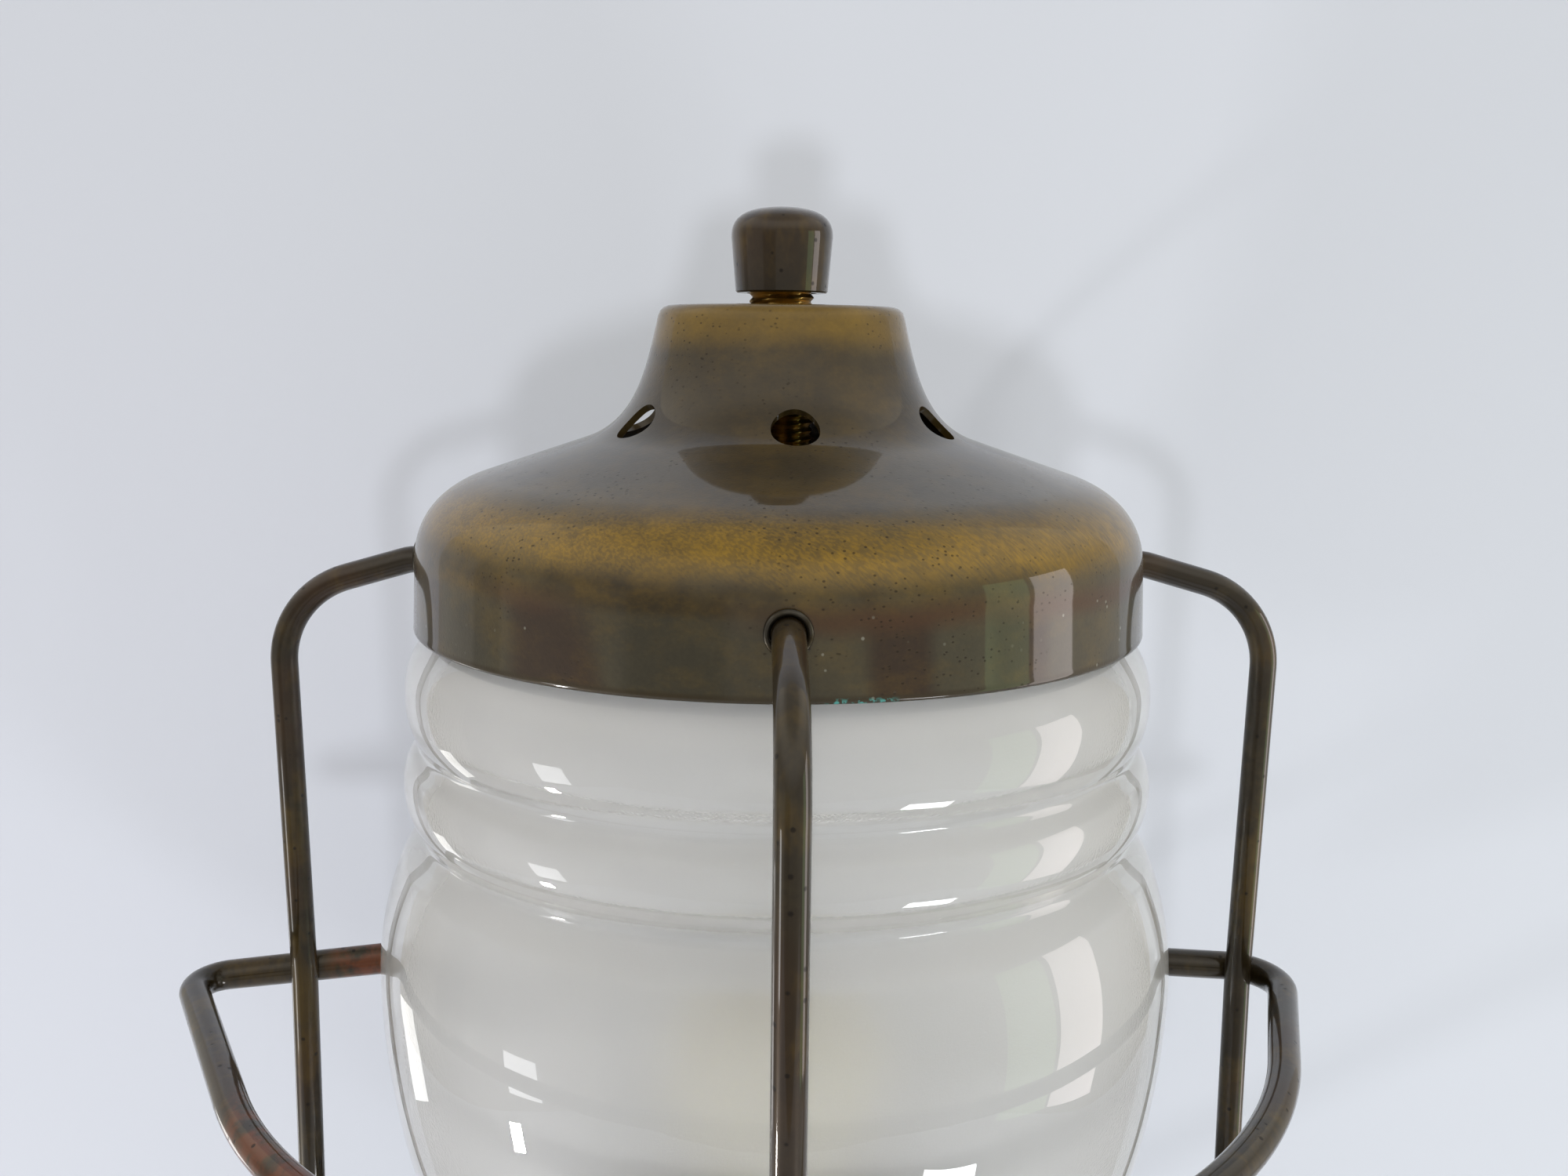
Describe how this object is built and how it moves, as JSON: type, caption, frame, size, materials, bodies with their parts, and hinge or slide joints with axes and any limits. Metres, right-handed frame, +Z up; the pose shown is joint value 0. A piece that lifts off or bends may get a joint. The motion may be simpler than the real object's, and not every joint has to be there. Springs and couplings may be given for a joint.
{
  "type": "caged lantern wall lamp",
  "caption": "Wall lantern in patinated brass: bell cap with screw knob, ringed barrel glass in a rod cage with a front hoop, bulb, tray and bent arm on a round wall rose.",
  "frame": {"origin": "middle of the wall rose's back face, on the wall", "axes": "+Z up, +Y into the wall, +X to the right for someone who faces the wall"},
  "size_m": [0.2171, 0.2126, 0.3652],
  "materials": {
    "patina_brass": "dark antique patina with golden belts, lacquered",
    "rod_brass": "dark brown patina, polished through on the edges",
    "bare_brass": "bare turned brass",
    "shade_glass": "clear outside, etched inside",
    "bulb_opal": "cream opal",
    "cork": "pressed cork",
    "zinc_steel": "zinc plated",
    "bead_metal": "bright rolled bead",
    "porcelain": "white glaze",
    "block_plastic": "ivory moulding",
    "lead_sheath": "ivory flexible lead"
  },
  "bodies": {
    "bracket": {"tray": "patina_brass", "tray_nipple": "bare_brass", "tray_nut": "bare_brass", "arm_head": "patina_brass", "lampholder_base": "zinc_steel", "lampholder_body": "porcelain", "lampholder_shell": "bare_brass", "lampholder_contact": "bare_brass", "wall_arm": "rod_brass", "arm_collar": "patina_brass", "arm_locknut": "bare_brass", "wall_rose": "patina_brass", "rose_strap": "zinc_steel", "terminal_block": "block_plastic", "terminal_screws": "zinc_steel", "earth_screw": "bare_brass", "earth_tag": "bare_brass", "lamp_lead": "lead_sheath"},
    "lantern": {"cap_shell": "patina_brass", "cap_stud": "bare_brass", "stud_washer": "bare_brass", "stud_nuts": "bare_brass", "heat_baffle": "bare_brass", "glass_seat_ring": "bare_brass", "upper_gasket": "cork", "glass_shade": "shade_glass", "lower_gasket": "cork", "guard_rod_front": "rod_brass", "guard_rod_right": "rod_brass", "guard_rod_back": "rod_brass", "guard_rod_left": "rod_brass", "guard_hoop": "rod_brass", "rod_beads": "bead_metal", "rod_nuts": "bare_brass", "base_cup": "patina_brass", "screw_bosses": "patina_brass"},
    "knob": {"cap_knob": "rod_brass"},
    "bulb": {"bulb_glass": "bulb_opal", "bulb_cap": "bare_brass", "bulb_contact": "zinc_steel"},
    "screw_front": {"thumb_screw_front": "rod_brass"},
    "screw_right": {"thumb_screw_right": "rod_brass"},
    "screw_left": {"thumb_screw_left": "rod_brass"}
  },
  "joints": [
    {"name": "lantern_lift", "type": "slide", "parent": "bracket", "child": "lantern", "axis": [0, 0, 1], "range_m": [0, 0.125]},
    {"name": "knob_turn", "type": "hinge", "parent": "lantern", "child": "knob", "pos_m": [0, -0.112, 0.3], "axis": [0, 0, 1], "continuous": true},
    {"name": "bulb_turn", "type": "hinge", "parent": "bracket", "child": "bulb", "pos_m": [0, -0.112, 0.11], "axis": [0, 0, 1], "continuous": true},
    {"name": "screw_front_turn", "type": "hinge", "parent": "lantern", "child": "screw_front", "pos_m": [0, -0.172, 0.0645], "axis": [0, -1, 0], "continuous": true},
    {"name": "screw_right_turn", "type": "hinge", "parent": "lantern", "child": "screw_right", "pos_m": [0.05196, -0.082, 0.0645], "axis": [0.866, 0.5, 0], "continuous": true},
    {"name": "screw_left_turn", "type": "hinge", "parent": "lantern", "child": "screw_left", "pos_m": [-0.05196, -0.082, 0.0645], "axis": [-0.866, 0.5, 0], "continuous": true}
  ]
}
